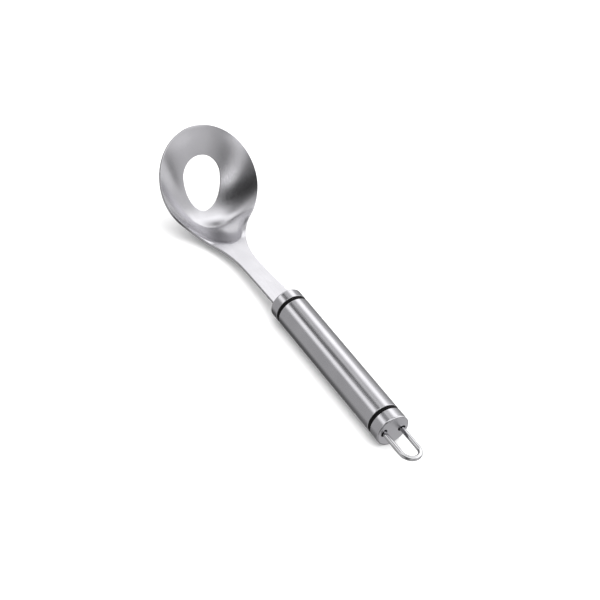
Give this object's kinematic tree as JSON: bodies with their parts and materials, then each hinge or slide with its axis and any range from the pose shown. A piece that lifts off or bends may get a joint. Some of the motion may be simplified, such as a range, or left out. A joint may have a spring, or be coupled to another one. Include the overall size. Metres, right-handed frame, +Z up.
{
  "type": "meatball scoop",
  "caption": "Meatball scoop: dished steel head with an egg-shaped hole, flat neck, round brushed steel handle with black rings, and a wire hanging loop.",
  "frame": {"origin": "under the middle of the object's box, on the plane that the handle lies on", "axes": "+X along the handle from the scoop's tip to the hanging loop, +Y across the scoop, +Z up out of the bowl"},
  "size_m": [0.241, 0.0636, 0.0495],
  "materials": {
    "satin_steel": "satin pressed stainless steel",
    "brushed_steel": "stainless steel brushed along the handle",
    "polished_wire": "polished stainless steel wire",
    "black_plastic": "smooth black plastic",
    "plug_plastic": "moulded grey plastic, hidden in the handle"
  },
  "bodies": {
    "handle": {"scoop": "satin_steel", "front_collar": "brushed_steel", "front_ring": "black_plastic", "handle_tube": "brushed_steel", "rear_ring": "black_plastic", "end_cap": "brushed_steel", "front_plug": "plug_plastic", "rear_plug": "plug_plastic", "tang_pin_1": "brushed_steel", "tang_pin_2": "brushed_steel"},
    "loop": {"hanging_loop": "polished_wire"}
  },
  "joints": [
    {"name": "loop_pivot", "type": "hinge", "parent": "handle", "child": "loop", "pos_m": [0.09555, 0, 0.0095], "axis": [0, 1, 0], "range_deg": [-10, 10]}
  ]
}
